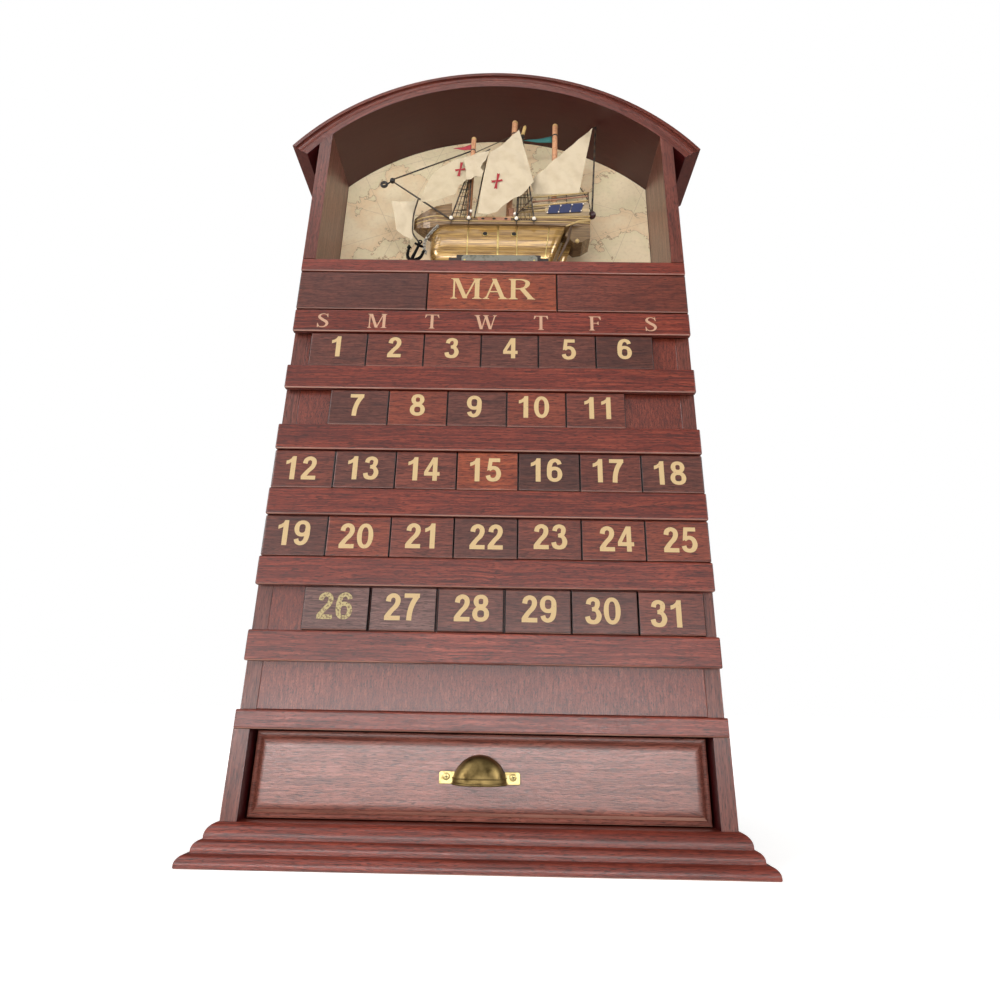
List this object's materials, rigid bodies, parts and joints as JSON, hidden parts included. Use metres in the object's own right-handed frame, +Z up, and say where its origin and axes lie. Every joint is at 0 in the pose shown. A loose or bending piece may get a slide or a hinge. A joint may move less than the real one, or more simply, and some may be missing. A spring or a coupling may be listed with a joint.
{
  "type": "desk calendar with drawer",
  "caption": "Narrow mahogany desk calendar with sliding date and month tiles, a small drawer below and an arched shadow box with a model ship above.",
  "frame": {"origin": "middle of the underside of the whole object's box", "axes": "+Z up, -Y to the front where the tiles and the drawer are, +X to the right"},
  "size_m": [0.2778, 0.0624, 0.5001],
  "materials": {
    "stained_mahogany": "red-brown stain, satin lacquer",
    "tile_mahogany": "redder stain, satin lacquer",
    "drawer_lining_wood": "plain sanded",
    "printed_card": "matt print",
    "antique_brass": "aged and lacquered",
    "lacquered_hull_wood": "gloss golden lacquer",
    "mast_dowel": "satin",
    "rigging_cord": "waxed cord",
    "sailcloth": "plain weave cotton",
    "black_iron": "satin black",
    "stand_wood": "dark stain"
  },
  "bodies": {
    "case": {"base_board": "stained_mahogany", "left_side_panel": "stained_mahogany", "right_side_panel": "stained_mahogany", "back_panel": "stained_mahogany", "calendar_panel": "stained_mahogany", "drawer_divider": "stained_mahogany", "shadow_box_shelf": "stained_mahogany", "arch_roof": "stained_mahogany", "chart_card": "printed_card", "weekday_rail": "stained_mahogany", "tile_rails": "stained_mahogany", "ship_hull": "lacquered_hull_wood", "ship_castles": "lacquered_hull_wood", "ship_masts": "mast_dowel", "ship_yards": "rigging_cord", "ship_sails": "sailcloth", "ship_rigging": "rigging_cord", "ship_anchor": "black_iron", "ship_stand": "stand_wood"},
    "drawer": {"drawer_front": "stained_mahogany", "drawer_left_side": "drawer_lining_wood", "drawer_right_side": "drawer_lining_wood", "drawer_back": "drawer_lining_wood", "drawer_bottom": "drawer_lining_wood", "cup_pull": "antique_brass", "pull_screws": "antique_brass"},
    "date_tile_01": {"date_tile_01": "tile_mahogany"},
    "date_tile_02": {"date_tile_02": "tile_mahogany"},
    "date_tile_03": {"date_tile_03": "tile_mahogany"},
    "date_tile_04": {"date_tile_04": "tile_mahogany"},
    "date_tile_05": {"date_tile_05": "tile_mahogany"},
    "date_tile_06": {"date_tile_06": "tile_mahogany"},
    "date_tile_07": {"date_tile_07": "tile_mahogany"},
    "date_tile_08": {"date_tile_08": "tile_mahogany"},
    "date_tile_09": {"date_tile_09": "tile_mahogany"},
    "date_tile_10": {"date_tile_10": "tile_mahogany"},
    "date_tile_11": {"date_tile_11": "tile_mahogany"},
    "date_tile_12": {"date_tile_12": "tile_mahogany"},
    "date_tile_13": {"date_tile_13": "tile_mahogany"},
    "date_tile_14": {"date_tile_14": "tile_mahogany"},
    "date_tile_15": {"date_tile_15": "tile_mahogany"},
    "date_tile_16": {"date_tile_16": "tile_mahogany"},
    "date_tile_17": {"date_tile_17": "tile_mahogany"},
    "date_tile_18": {"date_tile_18": "tile_mahogany"},
    "date_tile_19": {"date_tile_19": "tile_mahogany"},
    "date_tile_20": {"date_tile_20": "tile_mahogany"},
    "date_tile_21": {"date_tile_21": "tile_mahogany"},
    "date_tile_22": {"date_tile_22": "tile_mahogany"},
    "date_tile_23": {"date_tile_23": "tile_mahogany"},
    "date_tile_24": {"date_tile_24": "tile_mahogany"},
    "date_tile_25": {"date_tile_25": "tile_mahogany"},
    "date_tile_26": {"date_tile_26": "tile_mahogany"},
    "date_tile_27": {"date_tile_27": "tile_mahogany"},
    "date_tile_28": {"date_tile_28": "tile_mahogany"},
    "date_tile_29": {"date_tile_29": "tile_mahogany"},
    "date_tile_30": {"date_tile_30": "tile_mahogany"},
    "date_tile_31": {"date_tile_31": "tile_mahogany"},
    "blank_tile_left": {"blank_tile_left": "tile_mahogany"},
    "month_tile": {"month_tile": "tile_mahogany"},
    "blank_tile_right": {"blank_tile_right": "tile_mahogany"}
  },
  "joints": [
    {"name": "drawer_slide", "type": "slide", "parent": "case", "child": "drawer", "axis": [0, -1, 0], "range_m": [0, 0.032]},
    {"name": "date_tile_01_slide", "type": "slide", "parent": "case", "child": "date_tile_01", "axis": [1, 0, 0], "range_m": [-0.03883, 0.00839]},
    {"name": "date_tile_02_slide", "type": "slide", "parent": "date_tile_01", "child": "date_tile_02", "axis": [1, 0, 0], "range_m": [0, 0.00839]},
    {"name": "date_tile_03_slide", "type": "slide", "parent": "date_tile_02", "child": "date_tile_03", "axis": [1, 0, 0], "range_m": [0, 0.00839]},
    {"name": "date_tile_04_slide", "type": "slide", "parent": "date_tile_03", "child": "date_tile_04", "axis": [1, 0, 0], "range_m": [0, 0.00839]},
    {"name": "date_tile_05_slide", "type": "slide", "parent": "date_tile_04", "child": "date_tile_05", "axis": [1, 0, 0], "range_m": [0, 0.00839]},
    {"name": "date_tile_06_slide", "type": "slide", "parent": "date_tile_05", "child": "date_tile_06", "axis": [1, 0, 0], "range_m": [0, 0.00839]},
    {"name": "date_tile_07_slide", "type": "slide", "parent": "case", "child": "date_tile_07", "axis": [1, 0, 0], "range_m": [-0.05473, 0.01374]},
    {"name": "date_tile_08_slide", "type": "slide", "parent": "date_tile_07", "child": "date_tile_08", "axis": [1, 0, 0], "range_m": [0, 0.01374]},
    {"name": "date_tile_09_slide", "type": "slide", "parent": "date_tile_08", "child": "date_tile_09", "axis": [1, 0, 0], "range_m": [0, 0.01374]},
    {"name": "date_tile_10_slide", "type": "slide", "parent": "date_tile_09", "child": "date_tile_10", "axis": [1, 0, 0], "range_m": [0, 0.01374]},
    {"name": "date_tile_11_slide", "type": "slide", "parent": "date_tile_10", "child": "date_tile_11", "axis": [1, 0, 0], "range_m": [0, 0.01374]},
    {"name": "date_tile_12_slide", "type": "slide", "parent": "case", "child": "date_tile_12", "axis": [1, 0, 0], "range_m": [-0.02743, 0.00392]},
    {"name": "date_tile_13_slide", "type": "slide", "parent": "date_tile_12", "child": "date_tile_13", "axis": [1, 0, 0], "range_m": [0, 0.00392]},
    {"name": "date_tile_14_slide", "type": "slide", "parent": "date_tile_13", "child": "date_tile_14", "axis": [1, 0, 0], "range_m": [0, 0.00392]},
    {"name": "date_tile_15_slide", "type": "slide", "parent": "date_tile_14", "child": "date_tile_15", "axis": [1, 0, 0], "range_m": [0, 0.00392]},
    {"name": "date_tile_16_slide", "type": "slide", "parent": "date_tile_15", "child": "date_tile_16", "axis": [1, 0, 0], "range_m": [0, 0.00392]},
    {"name": "date_tile_17_slide", "type": "slide", "parent": "date_tile_16", "child": "date_tile_17", "axis": [1, 0, 0], "range_m": [0, 0.00392]},
    {"name": "date_tile_18_slide", "type": "slide", "parent": "date_tile_17", "child": "date_tile_18", "axis": [1, 0, 0], "range_m": [0, 0.00392]},
    {"name": "date_tile_19_slide", "type": "slide", "parent": "case", "child": "date_tile_19", "axis": [1, 0, 0], "range_m": [-0.02743, 0.00392]},
    {"name": "date_tile_20_slide", "type": "slide", "parent": "date_tile_19", "child": "date_tile_20", "axis": [1, 0, 0], "range_m": [0, 0.00392]},
    {"name": "date_tile_21_slide", "type": "slide", "parent": "date_tile_20", "child": "date_tile_21", "axis": [1, 0, 0], "range_m": [0, 0.00392]},
    {"name": "date_tile_22_slide", "type": "slide", "parent": "date_tile_21", "child": "date_tile_22", "axis": [1, 0, 0], "range_m": [0, 0.00392]},
    {"name": "date_tile_23_slide", "type": "slide", "parent": "date_tile_22", "child": "date_tile_23", "axis": [1, 0, 0], "range_m": [0, 0.00392]},
    {"name": "date_tile_24_slide", "type": "slide", "parent": "date_tile_23", "child": "date_tile_24", "axis": [1, 0, 0], "range_m": [0, 0.00392]},
    {"name": "date_tile_25_slide", "type": "slide", "parent": "date_tile_24", "child": "date_tile_25", "axis": [1, 0, 0], "range_m": [0, 0.00392]},
    {"name": "date_tile_26_slide", "type": "slide", "parent": "case", "child": "date_tile_26", "axis": [1, 0, 0], "range_m": [-0.05353, 0.00555]},
    {"name": "date_tile_27_slide", "type": "slide", "parent": "date_tile_26", "child": "date_tile_27", "axis": [1, 0, 0], "range_m": [-0.0007, 0.00555]},
    {"name": "date_tile_28_slide", "type": "slide", "parent": "date_tile_27", "child": "date_tile_28", "axis": [1, 0, 0], "range_m": [-0.0007, 0.00555]},
    {"name": "date_tile_29_slide", "type": "slide", "parent": "date_tile_28", "child": "date_tile_29", "axis": [1, 0, 0], "range_m": [-0.0005, 0.00555]},
    {"name": "date_tile_30_slide", "type": "slide", "parent": "date_tile_29", "child": "date_tile_30", "axis": [1, 0, 0], "range_m": [-0.0002, 0.00555]},
    {"name": "date_tile_31_slide", "type": "slide", "parent": "date_tile_30", "child": "date_tile_31", "axis": [1, 0, 0], "range_m": [-0.0002, 0.00555]},
    {"name": "blank_tile_left_slide", "type": "slide", "parent": "case", "child": "blank_tile_left", "axis": [1, 0, 0], "range_m": [-0.064, 0.02133]},
    {"name": "month_tile_slide", "type": "slide", "parent": "blank_tile_left", "child": "month_tile", "axis": [1, 0, 0], "range_m": [0, 0.02133]},
    {"name": "blank_tile_right_slide", "type": "slide", "parent": "month_tile", "child": "blank_tile_right", "axis": [1, 0, 0], "range_m": [0, 0.02133]}
  ]
}
